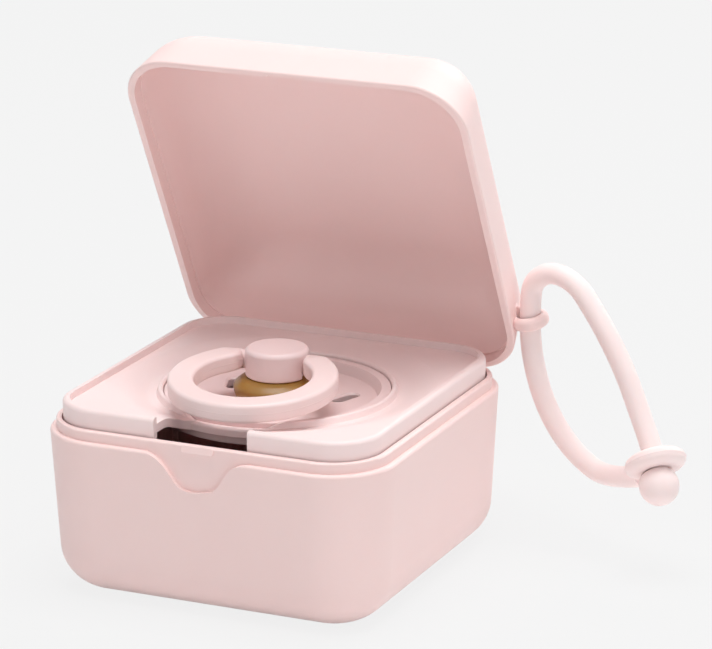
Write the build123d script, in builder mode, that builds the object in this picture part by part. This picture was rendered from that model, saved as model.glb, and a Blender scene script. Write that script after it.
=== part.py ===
from build123d import *
from math import acos, cos, degrees, radians, sin, sqrt, tan
import os

os.makedirs("parts", exist_ok=True)

# ---------------------------------------------------------------------------
# Soother (pacifier) steriliser box, standing open with the soother in its tray.
# Millimetres.  X to the right, Y to the back, Z up; the catch is at the front
# (-Y), the hinge at the back.  Origin: middle of the underside.
# ---------------------------------------------------------------------------

# case -----------------------------------------------------------------------
case_width = 74.6          # X, at the ledge the lid closes on
case_depth = 76.0          # Y
corner_r = 13.5            # plan corner of the base at the ledge
ledge_z = 33.6             # height of the ledge
wall_draft = 3.3           # degrees
foot_fillet = 9.4          # big rounding between walls and underside
ledge_round = 0.6
floor_thickness = 2.2
rim_height = 2.1           # raised band inside the ledge
rim_inset = 1.3
rim_wall = 1.3
cavity_draft = 1.5
cavity_floor_fillet = 7.0
cavity_corner_r = 10.2

# ribs inside the base that carry the tray
rib_top_z = 26.0
rib_width = 1.5
rib_depth = 1.6

# finger recess and catch at the front; heights measured down from the ledge
recess_half = 13.4
recess_outline = [(-13.4, 0.25), (-10.9, -0.05), (-9.4, -0.55), (-8.03, -1.35), (-6.25, -3.2), (-4.47, -5.66),
                  (-2.67, -6.97), (-0.86, -7.24), (1.7, -6.98), (3.9, -6.22), (5.39, -4.64),
                  (6.51, -2.85), (7.62, -1.5), (9.2, -0.5), (11.2, -0.02), (13.4, 0.25)]
nub_length, nub_height, nub_proud = 7.0, 1.5, 0.4
nub_drop = 0.8             # nub centre below the top of the band

# hinge ------------------------------------------------------------------------
hinge_y = case_depth / 2 + 0.2
hinge_z = ledge_z - 0.9
knuckle_r = 1.7
pin_r = 0.75
pin_running = 0.07         # clearance of the lid knuckle on the pin
lid_knuckle = 20.0
base_knuckle = 8.0
knuckle_gap = 0.3
knuckle_sweep_r = knuckle_r + 0.35
rest_open = 63.16          # degrees the lid stands open at rest

# lid --------------------------------------------------------------------------
lid_gap = 0.15             # between the ledge and the lid rim when closed
lid_width = case_width + 1.1
lid_length = case_depth + 0.3
lid_depth = 19.25
lid_corner_r = 11.4
lid_taper = 11.0
lid_top_fillet = 13.9
lid_wall = 1.5
hollow_inset_x, hollow_inset_y = 2.1, 1.9     # lid rim to the hollow, above the rebate
skirt_gap = 0.2            # between the skirt and the band of the base
skirt_corner_r = 10.2
rebate_depth = 2.6

# strap eyelet on the lid, centre and hole axis given with the lid at rest (open)
lug_at = Vector(case_width / 2 + 2.8, case_depth / 2 - 0.7, ledge_z + 12.2)
lug_axis = Vector(-0.148, -0.144, 0.979).normalized()
lug_r, lug_hole_r, lug_length = 3.9, 2.6, 2.8
lug_flare = 3.1            # radius of its foot on the lid wall

# tray -------------------------------------------------------------------------
tray_gap = 0.25            # to the inside of the base
tray_corner_r = 10.0
tray_top_z = 39.65
tray_top_round = 0.9
tray_wall = 1.5
deck_z = 38.2
deck_thickness = 1.8
collar_r, collar_wall, collar_top_z = 23.2, 1.1, 37.7
collar_round = 0.45
dish_in_r, dish_in_z = collar_r + collar_wall + 0.3, 36.45
dish_out_r = 32.5
dish_curve = [(0.18, 0.06), (0.43, 0.34), (0.75, 0.80)]     # fractions of its width and rise
shelf_r, shelf_z, shelf_thickness = collar_r - 1.9, 34.2, 1.5
notch_half, notch_r, notch_floor_z = 10.2, collar_r + 2.7, 33.0
lip_round = 0.7
notch_corner = 4.5
gap_floor_z = 35.0
dip_line = [(-13, 37.8), (-10.6, 37.25), (-8.6, 36.3), (-6.8, 35.3), (-4.2, 35.0), (4.2, 35.0), (6.8, 35.3), (8.6, 36.3),
            (10.6, 37.25), (13, 37.8)]
seat_gap = 0.05            # between a loose piece and what it stands on

# strap --------------------------------------------------------------------------
strap_r = 2.2
eye_at = lug_at + Vector(33.1, -14.2, -22.2)
eye_axis = Vector(-0.432, 0.4905, 0.7564).normalized()
eye_r, eye_thickness = 6.45, 3.75
ball_r = 4.08
ball_drop = 5.1            # eye centre to ball centre
ball_shift = -0.4          # ball centre off the eye axis, along X
ball_flat = 3.2            # ball centre to its flattened top
# control points of the cord, measured from the lid eyelet
strap_offsets = [
    (29.4, -11.6, -26.4), (20.3, -7.3, -29.7), (12.8, -4.6, -26.7), (7.2, -2.6, -21.8),
    (3.3, -1.2, -15.8), (0.8, -0.2, -8.8), (0.0, 0.0, -3.1), (0.0, 0.0, 3.1),
    (0.5, -0.2, 8.4), (5.3, -1.9, 11.7), (11.8, -4.3, 10.5), (16.6, -6.0, 5.2),
    (20.9, -7.6, -0.3), (24.8, -9.0, -6.5), (28.1, -10.2, -13.5), (31.588, -12.483, -19.553),
    (34.115, -15.353, -23.978),
]

# soother ------------------------------------------------------------------------
shield_r = collar_r - 0.2
shield_rim_r = shield_r - 1.9
shield_rim_z = 37.0
shield_rim_round = 0.9
plate_top_z, plate_bottom_z = 35.0, 33.2
vents = [(12.6, 5.3, 69.4), (-12.6, 5.3, 110.6), (0.0, -14.5, 0.0)]     # x, y and turn of the long axis
vent_length, vent_width, vent_bevel = 6.8, 2.7, 0.35
neck_r = 4.4
teat_r = 7.3
teat_tip_z = 6.3
latex = 1.3
flange_profile = [(7.6, 39.3), (9.05, 38.0), (8.7, 36.4)]
flange_top_r, flange_foot_r = 5.9, 8.2
knob_r, knob_bottom_z, knob_top_z = 6.5, 39.9, 45.8
knob_round = 1.05
arch_r, arch_depth = 2.2, 1.15
stem_r, stem_bottom_z = 3.05, 29.5
ring_out, ring_in, ring_thickness = 17.08, 11.83, 3.93
ring_offset = 14.33        # knob axis to ring centre
ring_pivot_z = 42.6
ring_rise = 0.8            # middle of the ring above its pivot
ring_turn = 6.0            # degrees, pivot line about Z
ring_droop = 4.0           # degrees, front of the ring below level
ring_round = 0.9
band_end = 8.6             # knob axis to the ends of the flat band, along X
ring_end_r = 1.95          # round ends that run from the band into the knob
ring_end_bulb = 7.9        # where they round off, along X
pivot_r = 1.3
pivot_clearance = 0.06

rim_top_z = ledge_z + rim_height
lid_z = ledge_z + lid_gap
cavity_w = case_width - 2 * (rim_inset + rim_wall)
cavity_d = case_depth - 2 * (rim_inset + rim_wall)
hinge_axis = Axis((0, hinge_y, hinge_z), (1, 0, 0))
side_plane = Plane(origin=(0, 0, 0), x_dir=(0, 1, 0), z_dir=(1, 0, 0))   # local x = Y, local y = Z
nub_z = rim_top_z - nub_drop
front_plane = Plane(origin=(0, -(case_depth / 2 - rim_inset), 0), x_dir=(1, 0, 0), z_dir=(0, -1, 0))


def export(part, name):
    """Name one finished piece and write it to its own STEP file."""
    part.label = name
    if not part.is_valid:
        raise ValueError(f"{name} is not a valid solid")
    export_step(part, f"parts/{name}.step")
    box = part.bounding_box()
    print(f"{name:20s} {len(part.solids())} solid  {part.volume:10.1f} mm3  "
          f"{box.size.X:6.2f} x {box.size.Y:6.2f} x {box.size.Z:6.2f}")


# ---------------------------------------------------------------------------
# Base shell
# ---------------------------------------------------------------------------
with BuildPart() as base_cavity:
    with BuildSketch(Plane(origin=(0, 0, rim_top_z), x_dir=(1, 0, 0), z_dir=(0, 0, -1))):
        RectangleRounded(cavity_w, cavity_d, cavity_corner_r)
    extrude(amount=rim_top_z - floor_thickness, taper=cavity_draft)
    fillet(base_cavity.edges().group_by(Axis.Z)[0], radius=cavity_floor_fillet)

with BuildPart() as catch_nub:
    # round-ended bar whose face leans back towards the top
    with BuildSketch(front_plane.offset(-0.5)):
        with Locations((0.2, nub_z)):
            SlotOverall(nub_length, nub_height)
    extrude(amount=nub_proud + 0.5)
    band_y = -(case_depth / 2 - rim_inset)
    with BuildSketch(side_plane.offset(-nub_length)):
        with BuildLine():
            Polyline((band_y + 0.5, nub_z - 1), (band_y - nub_proud, nub_z - 1), (band_y - nub_proud, nub_z - 0.55),
                     (band_y, nub_z + 0.72), (band_y + 0.5, nub_z + 0.72), close=True)
        make_face()
    extrude(amount=2 * nub_length, mode=Mode.INTERSECT)

with BuildPart() as base_shell:
    with BuildSketch(Plane(origin=(0, 0, ledge_z), x_dir=(1, 0, 0), z_dir=(0, 0, -1))):
        RectangleRounded(case_width, case_depth, corner_r)
    extrude(amount=ledge_z, taper=wall_draft)
    fillet(base_shell.edges().group_by(Axis.Z)[0], radius=foot_fillet)
    fillet(base_shell.edges().group_by(Axis.Z)[-1], radius=ledge_round)
    # raised band that the lid skirt closes over
    with BuildSketch(Plane.XY.offset(ledge_z - 3)):
        RectangleRounded(case_width - 2 * rim_inset, case_depth - 2 * rim_inset, corner_r - rim_inset)
    extrude(amount=rim_height + 3)
    fillet(base_shell.edges().group_by(Axis.Z)[-1], radius=0.35)
    # finger recess, its face flush with the band
    with BuildSketch(front_plane):
        with BuildLine():
            recess_curve = Spline(*[(x, ledge_z + z) for x, z in recess_outline])
            Polyline(recess_curve @ 1, (recess_half, ledge_z + 4), (-recess_half, ledge_z + 4), recess_curve @ 0)
        make_face()
    extrude(amount=5, mode=Mode.SUBTRACT)
    # catch nub
    add(catch_nub.part)
    add(base_cavity.part, mode=Mode.SUBTRACT)
    # ribs under the tray skirt
    rib_x = cavity_w / 2 - (rim_top_z - rib_top_z) * tan(radians(cavity_draft)) - rib_depth
    rib_y = cavity_d / 2 - (rim_top_z - rib_top_z) * tan(radians(cavity_draft)) - rib_depth
    for side in (-1, 1):
        with Locations(*[(x, side * (rib_y + 1.1), (rib_top_z + 10) / 2) for x in (-20, 20)]):
            Box(rib_width, 2.2, rib_top_z - 10)
        with Locations(*[(side * (rib_x + 1.1), y, (rib_top_z + 10) / 2) for y in (-20, 20)]):
            Box(2.2, rib_width, rib_top_z - 10)
    # hinge knuckles on the back wall
    knuckle_x = lid_knuckle / 2 + knuckle_gap + base_knuckle / 2
    for side in (-1, 1):
        with BuildSketch(side_plane.offset(side * knuckle_x - base_knuckle / 2)):
            with BuildLine():
                Polyline((hinge_y - 1.6, ledge_z - 0.1), (hinge_y, hinge_z + knuckle_r), (hinge_y + knuckle_r, hinge_z),
                         (hinge_y + knuckle_r, hinge_z - 0.6), (hinge_y - 1.6, hinge_z - 5.3), close=True)
            make_face()
            with Locations((hinge_y, hinge_z)):
                Circle(knuckle_r)
        extrude(amount=base_knuckle)
    with Locations((0, hinge_y, hinge_z)):
        Cylinder(knuckle_sweep_r, lid_knuckle + 2 * knuckle_gap, rotation=(0, 90, 0), mode=Mode.SUBTRACT)
        Cylinder(pin_r + 0.01, 2 * knuckle_x + 20, rotation=(0, 90, 0), mode=Mode.SUBTRACT)
export(base_shell.part, "base_shell")

# ---------------------------------------------------------------------------
# Hinge pin
# ---------------------------------------------------------------------------
with BuildPart() as hinge_pin:
    with Locations((0, hinge_y, hinge_z)):
        Cylinder(pin_r, lid_knuckle + 2 * (knuckle_gap + base_knuckle), rotation=(0, 90, 0))
    chamfer(hinge_pin.edges(), length=0.15)
export(hinge_pin.part, "hinge_pin")

# ---------------------------------------------------------------------------
# Lid: modelled closed on the base, then swung open about the hinge
# ---------------------------------------------------------------------------
opened = Location((0, hinge_y, hinge_z)) * Location((0, 0, 0), (-rest_open, 0, 0)) * Location((0, -hinge_y, -hinge_z))
closed_lug = opened.inverse() * Location(Plane(origin=lug_at, z_dir=lug_axis))
lug_plane = Plane(closed_lug)

with BuildPart() as lid_hollow:
    with BuildSketch(Plane.XY.offset(lid_z + rebate_depth)):
        RectangleRounded(lid_width - 2 * hollow_inset_x, lid_length - 2 * hollow_inset_y, lid_corner_r - 2.0)
    extrude(amount=lid_depth - rebate_depth - lid_wall, taper=lid_taper)
    fillet(lid_hollow.edges().group_by(Axis.Z)[-1], radius=lid_top_fillet - lid_wall)

with BuildPart() as lug:
    with Locations(lug_plane):
        Cylinder(lug_r, lug_length)
    fillet(lug.edges(), radius=1.15)
    # flared foot that joins it to the lid wall
    with BuildSketch(Plane(origin=closed_lug.position, x_dir=(1, 0, 0), z_dir=(0, -1, 0))):
        with BuildLine():
            foot_curve = Spline((-4.4, lug_flare), (-3.2, lug_flare - 0.25), (-2.5, 1.85), (-1.2, 1.3), (0, 1.2))
            Polyline(foot_curve @ 1, (0, 0), (-4.4, 0), foot_curve @ 0)
        make_face()
    revolve(axis=Axis(closed_lug.position, (1, 0, 0)))

with BuildPart() as lid_closed:
    with BuildSketch(Plane.XY.offset(lid_z)):
        RectangleRounded(lid_width, lid_length, lid_corner_r)
    extrude(amount=lid_depth, taper=lid_taper)
    fillet(lid_closed.edges().group_by(Axis.Z)[-1], radius=lid_top_fillet)
    fillet(lid_closed.edges().group_by(Axis.Z)[0], radius=0.4)
    # hinge knuckle and the arm that carries it
    with BuildSketch(side_plane.offset(-lid_knuckle / 2)):
        with BuildLine():
            Polyline((hinge_y - 1.2, lid_z + 0.1), (hinge_y + 0.15, lid_z + 0.1), (hinge_y + 0.15, hinge_z),
                     (hinge_y + knuckle_r, hinge_z), (hinge_y + knuckle_r, hinge_z + 2.9),
                     (hinge_y - 1.2, hinge_z + 5.9), close=True)
        make_face()
        with Locations((hinge_y, hinge_z)):
            Circle(knuckle_r)
    extrude(amount=lid_knuckle)
    # strap eyelet
    add(lug.part)
    with Locations(lug_plane):
        Cylinder(lug_hole_r, 12, mode=Mode.SUBTRACT)
    # inside
    add(lid_hollow.part, mode=Mode.SUBTRACT)
    with BuildSketch(Plane.XY.offset(lid_z - 1)):
        RectangleRounded(case_width - 2 * (rim_inset - skirt_gap), case_depth - 2 * (rim_inset - skirt_gap),
                         skirt_corner_r)
    extrude(amount=rebate_depth + 1, taper=1.5, mode=Mode.SUBTRACT)
    # room for the catch nub and for the base knuckles
    with Locations((0.2, -(case_depth / 2 - rim_inset + nub_proud + 0.12 - 0.5), lid_z)):
        Box(nub_length + 1.4, 1.0, 2 * (nub_z + nub_height / 2 + 0.25 - lid_z), mode=Mode.SUBTRACT)
    for side in (-1, 1):
        with Locations((side * (knuckle_x + 0.15), hinge_y, hinge_z)):
            Cylinder(knuckle_sweep_r + 0.1, base_knuckle + 0.9, rotation=(0, 90, 0), mode=Mode.SUBTRACT)
    with Locations((0, hinge_y, hinge_z)):
        Cylinder(pin_r + pin_running, 2 * knuckle_x + 20, rotation=(0, 90, 0), mode=Mode.SUBTRACT)

with BuildPart() as lid_shell:
    add(lid_closed.part.moved(opened))
export(lid_shell.part, "lid_shell")

# ---------------------------------------------------------------------------
# Steam tray
# ---------------------------------------------------------------------------
tray_w = cavity_w - 2 * tray_gap
tray_d = cavity_d - 2 * tray_gap
tray_foot_z = rib_top_z + seat_gap

dish_line = [(dish_in_r, dish_in_z)] + [
    (dish_in_r + u * (dish_out_r - dish_in_r), dish_in_z + v * (deck_z - dish_in_z)) for u, v in dish_curve
] + [(dish_out_r, deck_z)]

with BuildPart() as tray_kept:
    # plate under the dish and wall of the cup, kept when the underside is hollowed
    with BuildSketch(Plane.XZ):
        with BuildLine():
            under_dish = Spline(*[(r, z - deck_thickness) for r, z in dish_line], tangents=((1, 0.25), (1, 0.1)))
            Polyline(under_dish @ 1, (dish_out_r, deck_z), (0, deck_z), (0, shelf_z - shelf_thickness),
                     (collar_r + 0.8, shelf_z - shelf_thickness), under_dish @ 0)
        make_face()
    revolve(axis=Axis.Z)

with BuildPart() as tray_hollow:
    # everything open under the deck
    with BuildSketch(Plane(origin=(0, 0, deck_z - deck_thickness), x_dir=(1, 0, 0), z_dir=(0, 0, -1))):
        RectangleRounded(tray_w - 2 * tray_wall, tray_d - 2 * tray_wall, tray_corner_r - tray_wall)
    extrude(amount=deck_z - deck_thickness - tray_foot_z + 1, taper=1.1)
    add(tray_kept.part, mode=Mode.SUBTRACT)

with BuildPart() as tray_bowl:
    # open over the dish, round the rounded collar, down to the seat and the teat opening
    rise = collar_round * (1 - cos(radians(45)))
    outer_r = collar_r + collar_wall
    with BuildSketch(Plane.XZ):
        with BuildLine():
            dish_top = Spline(*dish_line, tangents=((1, 0.25), (1, 0.1)))
            Line(dish_top @ 0, (outer_r, collar_top_z - collar_round))
            ThreePointArc((outer_r, collar_top_z - collar_round), (outer_r - rise, collar_top_z - rise),
                          (outer_r - collar_round, collar_top_z))
            Line((outer_r - collar_round, collar_top_z), (collar_r + collar_round, collar_top_z))
            ThreePointArc((collar_r + collar_round, collar_top_z), (collar_r + rise, collar_top_z - rise),
                          (collar_r, collar_top_z - collar_round))
            Polyline((collar_r, collar_top_z - collar_round), (collar_r, shelf_z), (shelf_r, shelf_z),
                     (shelf_r, shelf_z - 4), (0, shelf_z - 4), (0, deck_z + 3), (dish_out_r, deck_z + 3), dish_top @ 1)
        make_face()
    revolve(axis=Axis.Z)

with BuildPart() as tray_notch:
    # finger notch at the front: straight cheeks, and a lip with a rounded edge that follows the collar
    lip_z = dish_in_z + 0.1
    lip_turn = lip_round * (1 - cos(radians(45)))
    with BuildSketch(Plane.XZ):
        with BuildLine():
            Polyline((notch_r, lip_z - lip_round), (notch_r, notch_floor_z), (50, notch_floor_z), (50, 50),
                     (notch_r - lip_round, 50), (notch_r - lip_round, lip_z))
            ThreePointArc((notch_r - lip_round, lip_z), (notch_r - lip_turn, lip_z - lip_turn),
                          (notch_r, lip_z - lip_round))
        make_face()
    revolve(axis=Axis.Z)
    with BuildSketch(Plane.XY.offset(notch_floor_z - 1)) as notch_plan:
        with Locations((0, -30)):
            Rectangle(2 * notch_half, 30)
        Circle(notch_r - lip_round, mode=Mode.SUBTRACT)
        fillet(notch_plan.vertices().filter_by(lambda v: v.Y > -35), radius=notch_corner)
    extrude(amount=30, mode=Mode.INTERSECT)

with BuildPart() as collar_dip:
    # the collar sinks behind the notch, so the rim of the shield can be reached
    with BuildSketch(Plane.XY.offset(gap_floor_z - 1)):
        Circle(dish_in_r)
        Circle(collar_r - 0.4, mode=Mode.SUBTRACT)
    extrude(amount=10)
    with BuildSketch(Plane.XZ):
        with BuildLine():
            dip = Spline(*[(x, z) for x, z in dip_line])
            Polyline(dip @ 1, (dip_line[-1][0], 50), (dip_line[0][0], 50), dip @ 0)
        make_face()
    extrude(amount=40, mode=Mode.INTERSECT)

with BuildPart() as steam_tray:
    with BuildSketch(Plane(origin=(0, 0, tray_top_z), x_dir=(1, 0, 0), z_dir=(0, 0, -1))):
        RectangleRounded(tray_w, tray_d, tray_corner_r)
    extrude(amount=tray_top_z - tray_foot_z, taper=1.1)
    fillet(steam_tray.edges().group_by(Axis.Z)[-1], radius=tray_top_round)
    add(tray_hollow.part, mode=Mode.SUBTRACT)
    # above the deck, inside the upstand
    with BuildSketch(Plane.XY.offset(deck_z)):
        RectangleRounded(tray_w - 2 * tray_wall, tray_d - 2 * tray_wall, tray_corner_r - tray_wall)
    extrude(amount=5, mode=Mode.SUBTRACT)
    add(tray_bowl.part, mode=Mode.SUBTRACT)
    add(tray_notch.part, mode=Mode.SUBTRACT)
    add(collar_dip.part, mode=Mode.SUBTRACT)
export(steam_tray.part, "steam_tray")

# ---------------------------------------------------------------------------
# Strap: one cord from the eye, through the lid eyelet, back through the eye, to the ball
# ---------------------------------------------------------------------------
nodes = [lug_at + Vector(*p) for p in strap_offsets]
radii = []
for before, here, after in zip(nodes, nodes[1:], nodes[2:]):
    run_in, run_out = here - before, after - here
    turn = acos(max(-1.0, min(1.0, run_in.normalized().dot(run_out.normalized()))))
    radii.append(round(0.45 * min(run_in.length, run_out.length) / tan(turn / 2), 2))
print("strap bend radii", radii)

with BuildPart() as strap_cord:
    with BuildLine() as strap_route:
        FilletPolyline(*nodes, radius=radii)
    print("strap length", round(sum(e.length for e in strap_route.edges()), 1))
    with BuildSketch(Plane(origin=nodes[0], z_dir=(nodes[1] - nodes[0]).normalized())):
        Circle(strap_r)
    sweep(path=strap_route.wires()[0])
export(strap_cord.part, "strap_cord")

eye_plane = Plane(origin=eye_at, z_dir=eye_axis)
with BuildPart() as strap_eye:
    with Locations(eye_plane):
        Cylinder(eye_r, eye_thickness)
    fillet(strap_eye.edges(), radius=1.6)
    with Locations(eye_plane):
        Cylinder(strap_r + 0.02, 10, mode=Mode.SUBTRACT)
    add(strap_cord.part, mode=Mode.SUBTRACT)
export(strap_eye.part, "strap_eye")

with BuildPart() as strap_ball:
    with Locations(eye_at - eye_axis * ball_drop + Vector(ball_shift, 0, 0)):
        Sphere(ball_r)
    flat_at = eye_at - eye_axis * (ball_drop - ball_flat)
    split(bisect_by=Plane(origin=flat_at, z_dir=eye_axis), keep=Keep.BOTTOM)
    add(strap_cord.part, mode=Mode.SUBTRACT)
export(strap_ball.part, "strap_ball")

# ---------------------------------------------------------------------------
# Soother
# ---------------------------------------------------------------------------
with BuildPart() as pacifier_shield:
    with BuildSketch(Plane.XZ) as shield_section:
        with BuildLine():
            Polyline((neck_r + 0.02, plate_bottom_z), (shelf_r - 1.1, plate_bottom_z), (shelf_r - 0.4, shelf_z + seat_gap),
                     (shield_r, shelf_z + seat_gap), (shield_r, shield_rim_z), (shield_rim_r, shield_rim_z),
                     (shield_rim_r - 0.9, plate_top_z), (neck_r + 0.02, plate_top_z), close=True)
        make_face()
        rounded = shield_section.vertices().filter_by(lambda v: v.X > 15)
        fillet(rounded.filter_by(lambda v: v.Z > 36), radius=shield_rim_round)
    revolve(axis=Axis.Z)
    with BuildSketch(Plane.XY.offset(plate_bottom_z - 1)):
        for x, y, turn in vents:
            with Locations((x, y)):
                SlotOverall(vent_length, vent_width, rotation=turn)
    extrude(amount=5, mode=Mode.SUBTRACT)
    with BuildSketch(Plane.XY.offset(plate_top_z - vent_bevel)):
        for x, y, turn in vents:
            with Locations((x, y)):
                SlotOverall(vent_length, vent_width, rotation=turn)
    extrude(amount=vent_bevel + 0.02, taper=-45, mode=Mode.SUBTRACT)
export(pacifier_shield.part, "pacifier_shield")

with BuildPart() as pacifier_nipple:
    with BuildSketch(Plane.XZ):
        with BuildLine():
            l1 = Line((stem_r + 0.02, knob_bottom_z), (flange_top_r, knob_bottom_z))
            l2 = Spline(l1 @ 1, *flange_profile, (flange_foot_r, plate_top_z))
            l3 = Polyline(l2 @ 1, (neck_r, plate_top_z), (neck_r, stem_bottom_z))
            l4 = Spline(l3 @ 1, (4.75, 25.0), (6.3, 19.5), (teat_r, 14.2), (6.2, 9.4), (3.4, 7.0), (0, teat_tip_z),
                        tangents=((0, -1), (-1, 0)))
            l5 = Line(l4 @ 1, (0, teat_tip_z + latex))
            l6 = Spline(l5 @ 1, (2.9, 8.1), (5.1, 10.2), (teat_r - latex, 14.2), (5.05, 19.3), (3.5, 24.8),
                        (stem_r + 0.02, stem_bottom_z), tangents=((1, 0), (0, 1)))
            l7 = Line(l6 @ 1, l1 @ 0)
        make_face()
    revolve(axis=Axis.Z)
export(pacifier_nipple.part, "pacifier_nipple")

turned = Location((0, 0, ring_pivot_z), (0, 0, ring_turn))
with BuildPart() as knob_level:
    with Locations((0, 0, (knob_bottom_z + knob_top_z) / 2 - ring_pivot_z)):
        Cylinder(knob_r, knob_top_z - knob_bottom_z)
    fillet(knob_level.edges().group_by(Axis.Z)[-1], radius=knob_round)
    fillet(knob_level.edges().group_by(Axis.Z)[0], radius=0.4)
    with Locations((0, 0, (stem_bottom_z + knob_bottom_z) / 2 - ring_pivot_z)):
        Cylinder(stem_r, knob_bottom_z - stem_bottom_z)
    for side in (-1, 1):
        # arched recess that takes the round end of the ring
        with BuildSketch(side_plane.offset(side * (knob_r - arch_depth))):
            with Locations((0, -0.2)):
                Circle(arch_r)
            with Locations((0, -2.0)):
                Rectangle(2 * arch_r, 3.6)
        extrude(amount=side * 3, mode=Mode.SUBTRACT)
        with Locations((side * (knob_r - arch_depth), 0, 0)):
            Cylinder(pivot_r + pivot_clearance, 4, rotation=(0, 90, 0), mode=Mode.SUBTRACT)

with BuildPart() as pacifier_knob:
    add(knob_level.part.moved(turned))
export(pacifier_knob.part, "pacifier_knob")

with BuildPart() as ring_level:
    with BuildSketch(Plane.XY.offset(ring_rise - ring_thickness / 2)):
        with Locations((0, -ring_offset)):
            Circle(ring_out)
            Circle(ring_in, mode=Mode.SUBTRACT)
        Rectangle(2 * band_end, 14, mode=Mode.SUBTRACT)
    extrude(amount=ring_thickness)
    fillet(ring_level.edges(), radius=ring_round)
    for side in (-1, 1):
        with Locations((side * (ring_end_bulb + knob_r - 0.9) / 2, 0, 0)):
            Cylinder(ring_end_r, ring_end_bulb - knob_r + 0.9, rotation=(0, 90, 0))
        with Locations((side * ring_end_bulb, 0, 0)):
            Sphere(ring_end_r)
        with Locations((side * (knob_r - 1.1), 0, 0)):
            Cylinder(pivot_r, 3.6, rotation=(0, 90, 0))

with BuildPart() as pacifier_ring:
    add(ring_level.part.rotate(Axis.X, ring_droop).moved(turned))
export(pacifier_ring.part, "pacifier_ring")
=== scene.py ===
"""Soother steriliser box standing open, with a ring-handled soother in its steam tray.

Everything is in metres in the row frame: +X right, +Y towards the hinge, +Z up, origin in the
middle of the underside.  Sizes in the classes are in millimetres, as on a mould drawing.
"""
from __future__ import annotations

import logging
import math
from dataclasses import dataclass
from enum import Enum

import bpy
import numpy as np
from mathutils import Matrix, Vector

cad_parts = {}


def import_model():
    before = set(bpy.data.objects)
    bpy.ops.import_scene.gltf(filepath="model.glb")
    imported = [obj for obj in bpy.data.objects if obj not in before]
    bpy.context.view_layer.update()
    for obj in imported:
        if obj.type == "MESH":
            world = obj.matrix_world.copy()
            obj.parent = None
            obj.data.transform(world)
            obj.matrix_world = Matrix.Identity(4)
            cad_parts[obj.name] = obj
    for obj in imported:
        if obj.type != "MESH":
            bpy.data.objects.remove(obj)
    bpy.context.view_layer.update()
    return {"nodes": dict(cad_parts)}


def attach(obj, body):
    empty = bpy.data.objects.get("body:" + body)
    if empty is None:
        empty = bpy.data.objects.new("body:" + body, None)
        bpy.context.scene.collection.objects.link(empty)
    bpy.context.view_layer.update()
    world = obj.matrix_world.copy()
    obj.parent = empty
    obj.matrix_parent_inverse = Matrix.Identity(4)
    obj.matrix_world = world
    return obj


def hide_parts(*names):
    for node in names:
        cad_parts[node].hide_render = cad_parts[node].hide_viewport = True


LOG = logging.getLogger("steriliser_box")
MM = 0.001
WHITE = "#ffffff"
Triple = tuple[float, float, float]


# ---------------------------------------------------------------------------
# Colour and node helpers
# ---------------------------------------------------------------------------
def linear(hex_colour: str) -> tuple[float, float, float, float]:
    """Turn an sRGB hex colour into linear RGBA.

    Args:
        hex_colour: colour such as "#f5d6d5".

    Returns:
        Linear red, green, blue and an alpha of 1.
    """
    values = []
    for i in (1, 3, 5):
        c = int(hex_colour[i:i + 2], 16) / 255
        values.append(c / 12.92 if c <= 0.04045 else ((c + 0.055) / 1.055) ** 2.4)
    return (*values, 1.0)


def add_node(tree: bpy.types.NodeTree, kind: str, settings: dict | None = None,
             inputs: dict | None = None) -> bpy.types.Node:
    """Add one node with its settings, input values and incoming links.

    Args:
        tree: the node tree to add to.
        kind: the node's bl_idname.
        settings: attributes to set on the node.
        inputs: socket name or index to a value, or to an output socket to link.

    Returns:
        The new node.
    """
    node = tree.nodes.new(kind)
    for name, value in (settings or {}).items():
        setattr(node, name, value)
    for name, value in (inputs or {}).items():
        if isinstance(value, bpy.types.NodeSocket):
            tree.links.new(value, node.inputs[name])
        else:
            node.inputs[name].default_value = value
    return node


def blank_material(name: str) -> tuple[bpy.types.Material, bpy.types.NodeTree]:
    """Make a node material with an empty tree.

    Args:
        name: what the real finish is called.

    Returns:
        The material and its node tree.
    """
    material = bpy.data.materials.new(name)
    material.use_nodes = True
    material.node_tree.nodes.clear()
    return material, material.node_tree


# ---------------------------------------------------------------------------
# Finishes
# ---------------------------------------------------------------------------
class MouldFace(Enum):
    """How the steel of the mould was finished: base roughness and depth of the grain."""

    SPARKED = (0.44, 0.06)
    VAPOUR_BLASTED = (0.38, 0.035)
    POLISHED = (0.30, 0.015)


@dataclass(frozen=True)
class Parting:
    """The faint witness line left where two halves of a mould met, as a plane cut through the part."""

    point: Triple
    normal: Triple
    width: float = 0.16

    def height(self, tree: bpy.types.NodeTree, position: bpy.types.NodeSocket) -> bpy.types.NodeSocket:
        """Give 1 on the line and 0 away from it.

        The distance to the plane is position . normal - point . normal, in metres.

        Args:
            tree: the material's node tree.
            position: socket with the place on the part.

        Returns:
            The socket with the height of the line.
        """
        normal = Vector(self.normal).normalized()
        offset = normal.dot(Vector(self.point)) * MM
        along = add_node(tree, "ShaderNodeVectorMath", {"operation": "DOT_PRODUCT"}, {0: position, 1: tuple(normal)})
        away = add_node(tree, "ShaderNodeMath", {"operation": "SUBTRACT"}, {0: along.outputs["Value"], 1: offset})
        size = add_node(tree, "ShaderNodeMath", {"operation": "ABSOLUTE"}, {0: away.outputs[0]})
        line = add_node(tree, "ShaderNodeMapRange", {"interpolation_type": "SMOOTHSTEP"},
                        {"Value": size.outputs[0], "From Min": 0.0, "From Max": self.width * MM,
                         "To Min": 1.0, "To Max": 0.0})
        return line.outputs["Result"]


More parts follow.
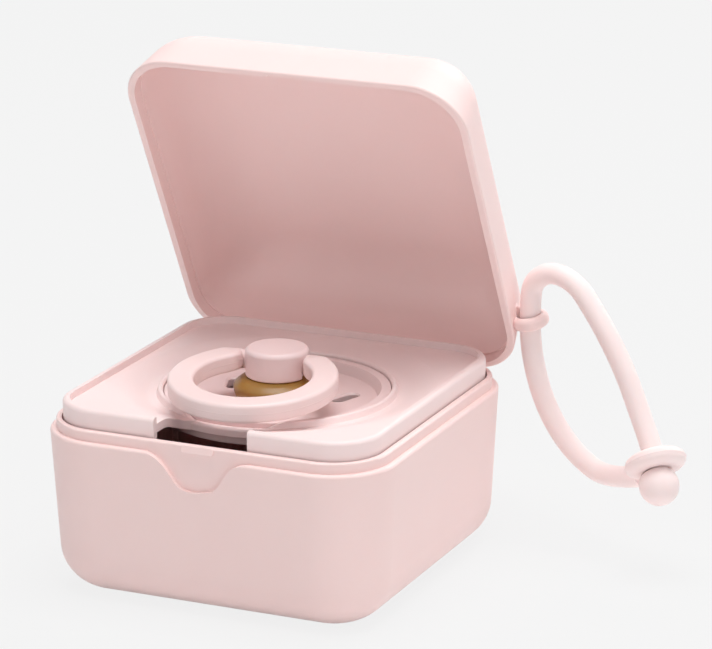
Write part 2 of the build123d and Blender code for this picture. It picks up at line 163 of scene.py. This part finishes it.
@dataclass(frozen=True)
class MouldedPlastic:
    """Injection-moulded polypropylene in blush pink: satin, slightly waxy, light bleeding a little way in.

    The spark-eroded texture of the mould is about 0.15 mm and is drawn at 0.35 mm so that it shows.
    Flow marks a few centimetres long give the soft unevenness of a moulded wall, and the same pattern
    mixes in swirls of colour from the masterbatch.
    """

    name: str
    face: MouldFace = MouldFace.SPARKED
    colour: str = "#fbdfdc"
    shade: str = "#f9dbd8"
    ior: float = 1.49
    grain_mm: float = 0.35
    flow_mm: float = 22.0
    subsurface: float = 0.10
    parting: Parting | None = None

    def build(self) -> bpy.types.Material:
        """Make the Blender material.

        Returns:
            The finished material.
        """
        material, tree = blank_material(self.name)
        roughness, bump = self.face.value
        place = add_node(tree, "ShaderNodeTexCoord").outputs["Object"]
        grain = add_node(tree, "ShaderNodeTexNoise", {"noise_dimensions": "3D"},
                         {"Vector": place, "Scale": 1 / (self.grain_mm * MM), "Detail": 3.0, "Roughness": 0.6})
        flow = add_node(tree, "ShaderNodeTexNoise", {"noise_dimensions": "3D"},
                        {"Vector": place, "Scale": 1 / (self.flow_mm * MM), "Detail": 2.0, "Distortion": 0.6})
        tint = add_node(tree, "ShaderNodeMix", {"data_type": "RGBA"},
                        {"Factor": flow.outputs["Fac"], 6: linear(self.colour), 7: linear(self.shade)})
        rough = add_node(tree, "ShaderNodeMapRange", {},
                         {"Value": grain.outputs["Fac"], "To Min": roughness - 0.06, "To Max": roughness + 0.08})
        fine = add_node(tree, "ShaderNodeBump", {},
                        {"Height": grain.outputs["Fac"], "Strength": bump, "Distance": 0.02 * MM})
        wave = add_node(tree, "ShaderNodeBump", {},
                        {"Height": flow.outputs["Fac"], "Strength": 0.12, "Distance": 0.2 * MM,
                         "Normal": fine.outputs["Normal"]})
        normal = wave.outputs["Normal"]
        if self.parting:
            line = add_node(tree, "ShaderNodeBump", {},
                            {"Height": self.parting.height(tree, place), "Strength": 0.8, "Distance": 0.05 * MM,
                             "Normal": normal})
            normal = line.outputs["Normal"]
        shader = add_node(tree, "ShaderNodeBsdfPrincipled", {},
                          {"Base Color": tint.outputs[2], "Roughness": rough.outputs["Result"],
                           "IOR": self.ior, "Normal": normal, "Subsurface Weight": self.subsurface,
                           "Subsurface Radius": (1.0, 0.6, 0.5), "Subsurface Scale": 1.2 * MM})
        add_node(tree, "ShaderNodeOutputMaterial", {}, {"Surface": shader.outputs["BSDF"]})
        return material


@dataclass(frozen=True)
class NaturalLatex:
    """Dipped natural rubber: amber, clear enough to glow, cloudy in patches, glossy where stretched smooth."""

    name: str = "amber_natural_latex"
    colour: str = "#b0853a"
    deep: str = "#8d6326"
    cloud_mm: float = 3.5

    def build(self) -> bpy.types.Material:
        """Make the Blender material.

        Returns:
            The finished material.
        """
        material, tree = blank_material(self.name)
        place = add_node(tree, "ShaderNodeTexCoord").outputs["Object"]
        cloud = add_node(tree, "ShaderNodeTexNoise", {"noise_dimensions": "3D"},
                         {"Vector": place, "Scale": 1 / (self.cloud_mm * MM), "Detail": 4.0, "Roughness": 0.55})
        tint = add_node(tree, "ShaderNodeMix", {"data_type": "RGBA"},
                        {"Factor": cloud.outputs["Fac"], 6: linear(self.colour), 7: linear(self.deep)})
        rough = add_node(tree, "ShaderNodeMapRange", {},
                         {"Value": cloud.outputs["Fac"], "To Min": 0.26, "To Max": 0.42})
        bump = add_node(tree, "ShaderNodeBump", {},
                        {"Height": cloud.outputs["Fac"], "Strength": 0.12, "Distance": 0.1 * MM})
        shader = add_node(tree, "ShaderNodeBsdfPrincipled", {},
                          {"Base Color": tint.outputs[2], "Roughness": rough.outputs["Result"], "IOR": 1.52,
                           "Normal": bump.outputs["Normal"], "Subsurface Weight": 0.3,
                           "Subsurface Radius": (1.0, 0.5, 0.15), "Subsurface Scale": 1.5 * MM})
        add_node(tree, "ShaderNodeOutputMaterial", {}, {"Surface": shader.outputs["BSDF"]})
        return material


@dataclass(frozen=True)
class Silicone:
    """Compression-moulded silicone rubber: matt, slightly translucent, with a dusty bloom.

    The bloom is dust of about 0.1 mm, drawn at 0.4 mm so that it shows.
    """

    name: str = "blush_silicone_rubber"
    colour: str = "#fdecea"
    shade: str = "#fbe4e2"
    dust_mm: float = 0.4
    cloud_mm: float = 11.0

    def build(self) -> bpy.types.Material:
        """Make the Blender material.

        Returns:
            The finished material.
        """
        material, tree = blank_material(self.name)
        place = add_node(tree, "ShaderNodeTexCoord").outputs["Object"]
        dust = add_node(tree, "ShaderNodeTexNoise", {"noise_dimensions": "3D"},
                        {"Vector": place, "Scale": 1 / (self.dust_mm * MM), "Detail": 2.0})
        cloud = add_node(tree, "ShaderNodeTexNoise", {"noise_dimensions": "3D"},
                         {"Vector": place, "Scale": 1 / (self.cloud_mm * MM), "Detail": 2.0})
        tint = add_node(tree, "ShaderNodeMix", {"data_type": "RGBA"},
                        {"Factor": cloud.outputs["Fac"], 6: linear(self.colour), 7: linear(self.shade)})
        rough = add_node(tree, "ShaderNodeMapRange", {},
                         {"Value": dust.outputs["Fac"], "To Min": 0.5, "To Max": 0.66})
        bump = add_node(tree, "ShaderNodeBump", {},
                        {"Height": dust.outputs["Fac"], "Strength": 0.08, "Distance": 0.02 * MM})
        shader = add_node(tree, "ShaderNodeBsdfPrincipled", {},
                          {"Base Color": tint.outputs[2], "Roughness": rough.outputs["Result"], "IOR": 1.41,
                           "Normal": bump.outputs["Normal"], "Subsurface Weight": 0.18,
                           "Subsurface Radius": (1.0, 0.65, 0.55), "Subsurface Scale": 1.5 * MM,
                           "Sheen Weight": 0.12, "Sheen Roughness": 0.5})
        add_node(tree, "ShaderNodeOutputMaterial", {}, {"Surface": shader.outputs["BSDF"]})
        return material


# ---------------------------------------------------------------------------
# Surfaces from grids of points
# ---------------------------------------------------------------------------
def smooth_line(points: list[tuple[float, float]], per_span: int = 12) -> np.ndarray:
    """Run a smooth line through a few profile points.

    Each span is a Catmull-Rom cubic: with the four points a, b, c, d about it, the tangent at b is
    (c - a) / 2 and at c it is (d - b) / 2.  The end points are repeated as their own neighbours.

    Args:
        points: the profile's radius and height, in millimetres.
        per_span: points made for each span.

    Returns:
        An array of radius and height, the last point included.
    """
    p = np.asarray(points, dtype=float)
    p = np.vstack([p[:1], p, p[-1:]])
    a, b, c, d = p[:-3, None], p[1:-2, None], p[2:-1, None], p[3:, None]
    t = np.linspace(0.0, 1.0, per_span, endpoint=False)[None, :, None]
    spans = 0.5 * (2 * b + (c - a) * t + (2 * a - 5 * b + 4 * c - d) * t**2 + (3 * b - a - 3 * c + d) * t**3)
    return np.vstack([spans.reshape(-1, 2), p[-1:]])


def turned(profile: np.ndarray, centre: Triple, axis: Triple, around: int = 96) -> np.ndarray:
    """Turn a profile about an axis, as on a lathe.

    Args:
        profile: radius from the axis and height along it, one row a point, in millimetres.
        centre: where height 0 is.
        axis: direction of the axis.
        around: points in each ring.

    Returns:
        A grid of points, one ring for each profile point.
    """
    up = np.asarray(Vector(axis).normalized())
    side = np.cross(up, (0.0, 0.0, 1.0) if abs(up[2]) < 0.9 else (1.0, 0.0, 0.0))
    side /= np.linalg.norm(side)
    front = np.cross(up, side)
    angle = np.linspace(0.0, 2 * np.pi, around, endpoint=False)[None, :, None]
    ring = np.cos(angle) * side + np.sin(angle) * front
    return np.asarray(centre) + profile[:, 0, None, None] * ring + profile[:, 1, None, None] * up


def grid_piece(name: str, grid: np.ndarray, material: bpy.types.Material, looped: bool = False) -> bpy.types.Object:
    """Make a smooth closed piece from rings of points.

    Neighbouring rings are joined by quads.  A first or last ring whose points all lie together is a
    pole, and becomes one vertex with triangles round it.  Faces are turned outward by the sign of
    the volume, which is the sum of a . (b x c) / 6 over the triangles.

    Args:
        name: the piece's name.
        grid: rings of points, in millimetres.
        material: its finish.
        looped: join the last ring to the first, for a profile that closes on itself.

    Returns:
        The linked object.
    """
    rings, around, _ = grid.shape
    index = np.arange(rings * around).reshape(rings, around)
    for end in (0, -1):
        if not looped and np.ptp(grid[end], axis=0).max() < 1e-9:
            index[end] = index[end, 0]
    first = index if looped else index[:-1]
    second = np.roll(index, -1, axis=0) if looped else index[1:]
    quads = np.stack([first, np.roll(first, -1, axis=1), np.roll(second, -1, axis=1), second], axis=-1)
    used, quads = np.unique(quads.reshape(-1, 4), return_inverse=True)
    quads = quads.reshape(-1, 4)
    points = grid.reshape(-1, 3)[used] * MM
    a, b, c, d = (points[quads[:, k]] for k in range(4))
    volume = np.einsum("ij,ij->", a, np.cross(b, c)) + np.einsum("ij,ij->", a, np.cross(c, d))
    if volume < 0:
        quads = quads[:, ::-1]
    # after a flip the equal pair of a pole's quad may sit at any side of it
    pairs = [quads[:, k] == quads[:, (k + 1) % 4] for k in range(4)]
    whole = quads[~np.any(pairs, axis=0)]
    thirds = [np.delete(quads[pair], k, axis=1) for k, pair in enumerate(pairs)]
    mesh = bpy.data.meshes.new(name)
    mesh.from_pydata(points.tolist(), [], whole.tolist() + np.vstack(thirds).tolist())
    mesh.polygons.foreach_set("use_smooth", np.ones(len(mesh.polygons), dtype=bool))
    mesh.materials.append(material)
    mesh.update()
    piece = bpy.data.objects.new(name, mesh)
    bpy.context.scene.collection.objects.link(piece)
    LOG.info("%s: %d faces", name, len(mesh.polygons))
    return piece


def dress(node: bpy.types.Object, material: bpy.types.Material) -> None:
    """Give a carried-over CAD node its finish.

    Args:
        node: the CAD node's object.
        material: its finish.
    """
    node.data.materials.clear()
    node.data.materials.append(material)
    LOG.info("%s: kept from the CAD, finished as %s", node.name, material.name)


# ---------------------------------------------------------------------------
# Camera, light and floor
# ---------------------------------------------------------------------------
@dataclass(frozen=True)
class Softbox:
    """A square area lamp: where it stands and its side in metres, and its power in watts."""

    name: str
    position: Triple
    size: float
    power: float
    aim: Triple = (0.0, 0.0, 0.04)

    def build(self) -> None:
        """Stand the lamp in the scene, turned to its aim."""
        data = bpy.data.lights.new(self.name, "AREA")
        data.shape, data.size, data.energy = "SQUARE", self.size, self.power
        lamp = bpy.data.objects.new(self.name, data)
        turn = (Vector(self.aim) - Vector(self.position)).to_track_quat("-Z", "Y")
        lamp.matrix_world = Matrix.Translation(self.position) @ turn.to_matrix().to_4x4()
        bpy.context.scene.collection.objects.link(lamp)


@dataclass(frozen=True)
class StudioView:
    """The camera, with angles in degrees and lengths in millimetres, and the plain pale studio round the box.

    The studio's own sizes are in metres.  The target and distance are the camera's.
    """

    azimuth: float = 24.604
    elevation: float = 16.839
    roll: float = -0.4005
    distance: float = 779.402
    focal_px: float = 3897.249
    image_width: int = 712
    sensor_width: float = 36.0
    seen_from_to: tuple[float, float] = (0.05, 20.0)
    target: Triple = (17.592, 0.0, 52.530)
    glow: float = 0.18
    paper: str = "#f3f3f3"
    floor_glow: float = 0.93
    shadow_paper: str = "#484848"
    floor_half: float = 6.0
    floor_level: float = -0.0001
    softboxes: tuple[Softbox, ...] = (
        Softbox("top_softbox", (0.1, 0.0, 1.3), 0.9, 14.1),
        Softbox("right_softbox", (1.2, -0.3, 0.6), 0.9, 3.1),
        Softbox("front_softbox", (-0.2, -1.3, 0.5), 0.9, 2.75),
        Softbox("back_softbox", (0.3, 1.2, 0.9), 0.9, 6.8),
    )

    def place_camera(self) -> None:
        """Look at the target from the given side, with the long side of the sensor across."""
        a, e, r = (math.radians(v) for v in (self.azimuth, self.elevation, self.roll))
        back = Vector((math.sin(a) * math.cos(e), -math.cos(a) * math.cos(e), math.sin(e)))
        right = Vector((math.cos(a), math.sin(a), 0.0))
        up = back.cross(right)
        turned_right = math.cos(r) * right + math.sin(r) * up
        turned_up = -math.sin(r) * right + math.cos(r) * up
        data = bpy.data.cameras.new("studio_camera")
        data.sensor_fit = "HORIZONTAL"
        data.sensor_width = self.sensor_width
        data.lens = self.focal_px / self.image_width * self.sensor_width
        data.clip_start, data.clip_end = self.seen_from_to
        camera = bpy.data.objects.new("studio_camera", data)
        rotation = Matrix((turned_right, turned_up, back)).transposed().to_4x4()
        eye = (Vector(self.target) + back * self.distance) * MM
        camera.matrix_world = Matrix.Translation(eye) @ rotation
        bpy.context.scene.collection.objects.link(camera)
        bpy.context.scene.camera = camera

    @staticmethod
    def seen_directly(tree: bpy.types.NodeTree) -> bpy.types.NodeSocket:
        """Give 1 for a ray from the camera, or one that a mirror or a clear part has passed on.

        Args:
            tree: the node tree of the floor or the world.

        Returns:
            The socket with 0 or 1.
        """
        ray = add_node(tree, "ShaderNodeLightPath")
        mirror = add_node(tree, "ShaderNodeMath", {"operation": "MAXIMUM"},
                          {0: ray.outputs["Is Camera Ray"], 1: ray.outputs["Is Glossy Ray"]})
        clear = add_node(tree, "ShaderNodeMath", {"operation": "MAXIMUM"},
                         {0: mirror.outputs[0], 1: ray.outputs["Is Transmission Ray"]})
        return clear.outputs[0]

    def light(self) -> None:
        """Set up the softboxes, and an even world that the camera and mirrors see as plain paper."""
        for softbox in self.softboxes:
            softbox.build()
        world = bpy.data.worlds.new("studio_world")
        bpy.context.scene.world = world
        world.use_nodes = True
        tree = world.node_tree
        tree.nodes.clear()
        glow = add_node(tree, "ShaderNodeBackground", {}, {"Color": linear(WHITE), "Strength": self.glow})
        seen = add_node(tree, "ShaderNodeBackground", {}, {"Color": linear(self.paper), "Strength": 1.0})
        pick = add_node(tree, "ShaderNodeMixShader", {},
                        {0: self.seen_directly(tree), 1: glow.outputs[0], 2: seen.outputs[0]})
        add_node(tree, "ShaderNodeOutputWorld", {}, {"Surface": pick.outputs[0]})

    def floor(self) -> None:
        """Lay a pale floor that runs out of view.

        Lamps see white paper.  The camera sees its flat tone as a glow, with a little darker paper under
        it that keeps the soft shadow of the box.
        """
        half, level = self.floor_half, self.floor_level
        mesh = bpy.data.meshes.new("studio_floor")
        mesh.from_pydata([(-half, -half, level), (half, -half, level), (half, half, level), (-half, half, level)],
                         [], [(0, 1, 2, 3)])
        floor = bpy.data.objects.new("studio_floor", mesh)
        bpy.context.scene.collection.objects.link(floor)
        material, tree = blank_material("pale_seamless_paper")
        paper = add_node(tree, "ShaderNodeBsdfDiffuse", {}, {"Color": linear(self.paper)})
        faint = add_node(tree, "ShaderNodeBsdfDiffuse", {}, {"Color": linear(self.shadow_paper)})
        glow = add_node(tree, "ShaderNodeEmission", {}, {"Color": linear(self.paper), "Strength": self.floor_glow})
        seen = add_node(tree, "ShaderNodeAddShader", {}, {0: faint.outputs[0], 1: glow.outputs[0]})
        pick = add_node(tree, "ShaderNodeMixShader", {},
                        {0: self.seen_directly(tree), 1: paper.outputs[0], 2: seen.outputs[0]})
        add_node(tree, "ShaderNodeOutputMaterial", {}, {"Surface": pick.outputs[0]})
        mesh.materials.append(material)

    def build(self) -> None:
        """Set the camera, lamps, world and floor, and the plain view transform."""
        self.place_camera()
        self.light()
        self.floor()
        bpy.context.scene.view_settings.view_transform = "Standard"


# ---------------------------------------------------------------------------
# Strap
# ---------------------------------------------------------------------------
@dataclass
class Strap:
    """Round silicone strap: up through the lid eyelet, over, and down through its own eye to a ball."""

    silicone: bpy.types.Material
    radius: float = 2.2
    route: tuple[Triple, ...] = (
        (69.5, 25.7, 19.4), (60.4, 30.0, 16.1), (52.9, 32.7, 19.1), (47.3, 34.7, 24.0),
        (43.4, 36.1, 30.0), (40.9, 37.1, 37.0), (40.1, 37.3, 42.7), (40.1, 37.3, 48.9),
        (40.6, 37.1, 54.2), (45.4, 35.4, 57.5), (51.9, 33.0, 56.3), (56.7, 31.3, 51.0),
        (61.0, 29.7, 45.5), (64.9, 28.3, 39.3), (68.2, 27.1, 32.3), (71.688, 24.817, 26.247),
        (74.215, 21.947, 21.822),
    )
    length: float = 0.112
    eye_at: Triple = (73.2, 23.1, 23.6)
    eye_axis: Triple = (-0.432, 0.4905, 0.7564)
    eye_radius: float = 6.45
    eye_half: float = 1.86
    ridge: float = 0.13
    ball_radius: float = 4.08
    ball_drop: float = 5.1
    ball_shift: float = -0.4
    ball_flat: float = 3.2
    ball_corner: float = 0.22
    eye_core: float = 3.3
    eye_power: float = 0.86
    ridge_width: float = 0.16
    eye_dip: float = 0.3
    bore_overlap: float = 0.15

    def cord(self, with_pieces: list[bpy.types.Object]) -> bpy.types.Object:
        """The round cord as one NURBS curve along its control points.

        Args:
            with_pieces: the eye and the ball that are moulded on it; not used.

        Returns:
            The cord.
        """
        curve = bpy.data.curves.new("strap_round_cord", "CURVE")
        curve.dimensions = "3D"
        curve.bevel_depth = self.radius * MM
        curve.bevel_resolution = 10
        curve.resolution_u = 14
        curve.use_fill_caps = True
        spline = curve.splines.new("NURBS")
        spline.points.add(len(self.route) - 1)
        for point, place in zip(spline.points, self.route):
            point.co = (*(v * MM for v in place), 1.0)
        spline.order_u = 3
        spline.use_endpoint_u = True
        spline.use_smooth = True
        piece = bpy.data.objects.new("strap_round_cord", curve)
        bpy.context.scene.collection.objects.link(piece)
        curve.materials.append(self.silicone)
        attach(piece, "strap")
        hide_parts("strap_cord")
        LOG.info("strap_round_cord: %d control points", len(self.route))
        return piece

    def eye(self) -> bpy.types.Object:
        """The thick eye that the cord passes through, with the raised line where its mould closed.

        Half of its section is a superellipse, r = c + (R - c) cos(a)^e and z = h sin(a)^e, and the
        line is a bell of height `ridge` at z = 0.  The faces dip a little to the cord.

        Returns:
            The eye.
        """
        core, power = self.eye_core, self.eye_power
        a = np.linspace(-np.pi / 2, np.pi / 2, 61)
        r = core + (self.eye_radius - self.ridge - core) * np.abs(np.cos(a)) ** power
        z = self.eye_half * np.sign(a) * np.abs(np.sin(a)) ** power
        r += self.ridge * np.exp(-(z / self.ridge_width) ** 2)
        hole = self.radius - self.bore_overlap
        dip = self.eye_half - self.eye_dip
        profile = np.vstack([[hole, -dip], np.column_stack([r, z]), [hole, dip]])
        piece = grid_piece("strap_eye_bead", turned(profile, self.eye_at, self.eye_axis), self.silicone, looped=True)
        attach(piece, "strap")
        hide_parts("strap_eye")
        return piece

    def ball(self) -> bpy.types.Object:
        """The ball at the strap's end: a sphere cut flat under the eye, its edge rounded over.

        The flat and the sphere meet in a soft corner: z is the smooth minimum of the sphere's height and
        the flat's, with z = -k log(exp(-s / k) + exp(-f / k)).

        Returns:
            The ball.
        """
        k = self.ball_corner
        a = np.linspace(0.0, np.pi, 65)
        sphere = self.ball_radius * -np.cos(a)
        z = -k * np.log(np.exp(-sphere / k) + np.exp(-self.ball_flat / k))
        profile = np.column_stack([self.ball_radius * np.sin(a), z])
        profile[[0, -1], 0] = 0.0
        axis = Vector(self.eye_axis).normalized()
        centre = Vector(self.eye_at) - axis * self.ball_drop + Vector((self.ball_shift, 0.0, 0.0))
        piece = grid_piece("strap_end_ball", turned(profile, tuple(centre), tuple(axis)), self.silicone)
        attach(piece, "strap")
        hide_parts("strap_ball")
        return piece

    def build(self) -> None:
        """Make the strap."""
        self.cord([self.eye(), self.ball()])


# ---------------------------------------------------------------------------
# Latex teat
# ---------------------------------------------------------------------------
@dataclass
class Teat:
    """Hollow latex teat: a bead under the knob, a neck through the shield, a round bulb below."""

    latex: bpy.types.Material
    bead: tuple = ((3.07, 39.88), (5.9, 39.88), (7.6, 39.3), (8.75, 38.45), (9.05, 37.8), (8.95, 36.9),
                   (8.6, 35.9), (8.2, 35.03))
    neck: tuple = ((4.4, 35.03), (4.4, 33.2), (4.4, 29.5))
    bulb: tuple = ((4.4, 29.5), (4.75, 25.0), (6.3, 19.5), (7.3, 14.2), (6.2, 9.4), (3.4, 7.0), (0.0, 6.3))
    inside: tuple = ((0.0, 7.6), (2.9, 8.1), (5.1, 10.2), (6.0, 14.2), (5.05, 19.3), (3.5, 24.8), (3.07, 29.5))
    bead_foot: float = 35.1
    bead_top: float = 39.7
    long_wave: float = 0.05
    short_wave: float = 0.03
    bore: float = 3.2

    def build(self) -> bpy.types.Object:
        """Turn the teat's section and let the bead wander a little, as dipped rubber does.

        The bead's radius changes by long_wave (sin(3 angle + 1) - 1) and short_wave sin(7 angle) round it,
        fading out within 1.5 mm of its foot and 0.6 mm of its top.

        Returns:
            The teat.
        """
        bead = smooth_line(self.bead[1:])
        profile = np.vstack([self.bead[0], bead, self.neck, smooth_line(self.bulb)[1:], smooth_line(self.inside)])
        grid = turned(profile[::-1], (0.0, 0.0, 0.0), (0.0, 0.0, 1.0), around=120)
        angle = np.arctan2(grid[..., 1], grid[..., 0])
        height = grid[..., 2]
        raised = (np.clip((height - self.bead_foot) / 1.5, 0.0, 1.0)
                  * np.clip((self.bead_top - height) / 0.6, 0.0, 1.0))
        radius = np.hypot(grid[..., 0], grid[..., 1])
        wave = self.long_wave * np.sin(3 * angle + 1) - self.long_wave + self.short_wave * np.sin(7 * angle)
        wander = 1 + raised * wave / np.maximum(radius, 1)
        grid[..., :2] *= np.where(radius > self.bore, wander, 1.0)[..., None]
        piece = grid_piece("latex_teat", grid, self.latex)
        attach(piece, "pacifier")
        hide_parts("pacifier_nipple")
        return piece


# ---------------------------------------------------------------------------
# Ring handle
# ---------------------------------------------------------------------------
@dataclass
class RingHandle:
    """Flat ring handle whose two ends narrow to round stubs that turn in the knob.

    Sizes are given level, from the middle of the pivot line; the ring then droops about that line
    and is turned about the knob.
    """

    pivot_height: float = 42.6
    turn: float = 6.0
    droop: float = 4.0
    centre_y: float = -14.33
    mid_radius: float = 14.455
    half_width: float = 2.625
    half_thickness: float = 1.965
    edge_round: float = 0.8
    rise: float = 0.8
    stub_radius: float = 1.95
    stub_from: float = 5.6
    stub_to: float = 6.8
    swell: float = 4.4
    pin_radius: float = 1.3
    pin_from: float = 3.8
    leave_circle: float = 10.2
    bend_reach: float = 1.1
    nearly_round: float = 0.995
    corner_points: int = 9

    @property
    def middle(self) -> Triple:
        """A point on the ring's parting plane, near the middle of the ring."""
        return (1.5, -14.2, 42.4)

    def normal(self) -> Triple:
        """Direction square to the ring's plane.

        Returns:
            The unit normal.
        """
        t, d = math.radians(self.turn), math.radians(self.droop)
        return (math.sin(d) * math.sin(t), -math.sin(d) * math.cos(t), math.cos(d))

    def middle_line(self) -> np.ndarray:
        """Middle of the band from the front to the right-hand pivot.

        It is a circle up to x = leave_circle, and from there a cubic Hermite curve that lands on the
        pivot line, running along it.

        Returns:
            Points of x and y, in millimetres.
        """
        last = math.asin(self.leave_circle / self.mid_radius)
        angle = np.linspace(0.0, np.pi - last, 70)
        circle = np.column_stack([self.mid_radius * np.sin(angle), self.centre_y - self.mid_radius * np.cos(angle)])
        start, end = circle[-1], np.array([self.stub_to, 0.0])
        heading = np.array([-math.cos(last), math.sin(last)])
        reach = self.bend_reach * np.linalg.norm(end - start)
        t = np.linspace(0.0, 1.0, 25)[1:, None]
        bend = ((2 * t**3 - 3 * t**2 + 1) * start + (t**3 - 2 * t**2 + t) * reach * heading
                + (3 * t**2 - 2 * t**3) * end + (t**3 - t**2) * reach * np.array([-1.0, 0.0]))
        stub = np.column_stack([np.linspace(self.stub_to, self.stub_from, 5)[1:], np.zeros(4)])
        return np.vstack([circle, bend, stub])

    def sections(self) -> np.ndarray:
        """Carry the band's section along the middle line, from one pin to the other.

        The section is a rounded rectangle: four quarter circles of radius r about (w - r, h - r).
        Towards the pivot w, h, r and the rise go to those of the round stub by the smooth step
        3 b^2 - 2 b^3 of the way left to go.

        Returns:
            A grid of points, one ring for each section, level and not yet turned.
        """
        half = self.middle_line()
        step = np.linalg.norm(np.diff(half, axis=0), axis=1)
        left = np.append(np.cumsum(step[::-1])[::-1], 0.0) - (self.stub_to - self.stub_from)
        b = np.clip(left / self.swell, 0.0, 1.0)
        b = (3 * b**2 - 2 * b**3)[:, None]
        w = self.stub_radius + b * (self.half_width - self.stub_radius)
        h = self.stub_radius + b * (self.half_thickness - self.stub_radius)
        end_round = self.nearly_round * self.stub_radius
        r = end_round + b * (self.edge_round - end_round)
        corner = np.repeat(np.arange(4), self.corner_points)[None, :]
        a = (corner * 0.5 + np.tile(np.linspace(0.0, 0.5, self.corner_points), 4)[None, :]) * np.pi
        across = np.where((corner == 0) | (corner == 3), 1, -1) * (w - r) + r * np.cos(a)
        above = np.where(corner < 2, 1, -1) * (h - r) + r * np.sin(a) + b * self.rise
        along = np.gradient(half, axis=0)
        along /= np.linalg.norm(along, axis=1, keepdims=True)
        square = np.column_stack([along[:, 1], -along[:, 0]])
        flat = half[:, None, :] + across[..., None] * square[:, None, :]
        grid = np.concatenate([flat, above[..., None]], axis=-1)
        narrower = self.pin_radius / self.stub_radius
        pin = grid[-1] * (1.0, narrower, narrower)
        pin_end = pin + (self.pin_from - self.stub_from, 0.0, 0.0)
        tip = np.broadcast_to(pin_end.mean(axis=0), pin_end.shape)
        right = np.concatenate([grid, pin[None], pin_end[None], tip[None]])
        left_side = right[:0:-1] * (-1.0, 1.0, 1.0)
        return np.concatenate([left_side, right])

    def build(self) -> bpy.types.Object:
        """Droop and turn the level ring, and make it a piece.

        Returns:
            The ring handle.
        """
        level = self.sections()
        d, t = math.radians(self.droop), math.radians(self.turn)
        drooped = np.array(((1, 0, 0), (0, math.cos(d), -math.sin(d)), (0, math.sin(d), math.cos(d))))
        turned_by = np.array(((math.cos(t), -math.sin(t), 0), (math.sin(t), math.cos(t), 0), (0, 0, 1)))
        grid = level @ (turned_by @ drooped).T + (0.0, 0.0, self.pivot_height)
        parting = Parting(self.middle, self.normal())
        plastic = MouldedPlastic("blush_polypropylene_ring", MouldFace.VAPOUR_BLASTED, colour="#f8e2e0",
                                 shade="#f5dddb", parting=parting).build()
        piece = grid_piece("ring_handle", grid, plastic)
        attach(piece, "ring")
        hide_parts("pacifier_ring")
        return piece


# ---------------------------------------------------------------------------
# Rigid mouldings carried over from the CAD
# ---------------------------------------------------------------------------
@dataclass
class Mouldings:
    """The plastic parts whose CAD shape is kept, and the finish of each."""

    nodes: dict[str, bpy.types.Object]

    def build(self) -> None:
        """Give every kept part its finish."""
        case = MouldedPlastic("blush_polypropylene_case").build()
        tray = MouldedPlastic("blush_polypropylene_tray", colour="#fbe7e5", shade="#f9e2e1").build()
        soother = MouldedPlastic("blush_polypropylene_soother", MouldFace.VAPOUR_BLASTED, colour="#f6dfde",
                                 shade="#f3dad9").build()
        pin = MouldedPlastic("turned_polypropylene_pin", MouldFace.POLISHED, colour="#ecc6c4",
                             shade="#e8bfbd").build()
        finishes = {"base_shell": case, "lid_shell": case, "hinge_pin": pin, "steam_tray": tray,
                    "pacifier_shield": soother, "pacifier_knob": soother}
        for name, finish in finishes.items():
            dress(self.nodes[name], finish)


def main() -> None:
    """Build the scene piece by piece."""
    logging.basicConfig(level=logging.INFO, format="%(name)s: %(message)s")
    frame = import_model()
    StudioView().build()
    Strap(Silicone().build()).build()
    Teat(NaturalLatex().build()).build()
    Mouldings(frame["nodes"]).build()
    RingHandle().build()


if __name__ == "__main__":
    main()
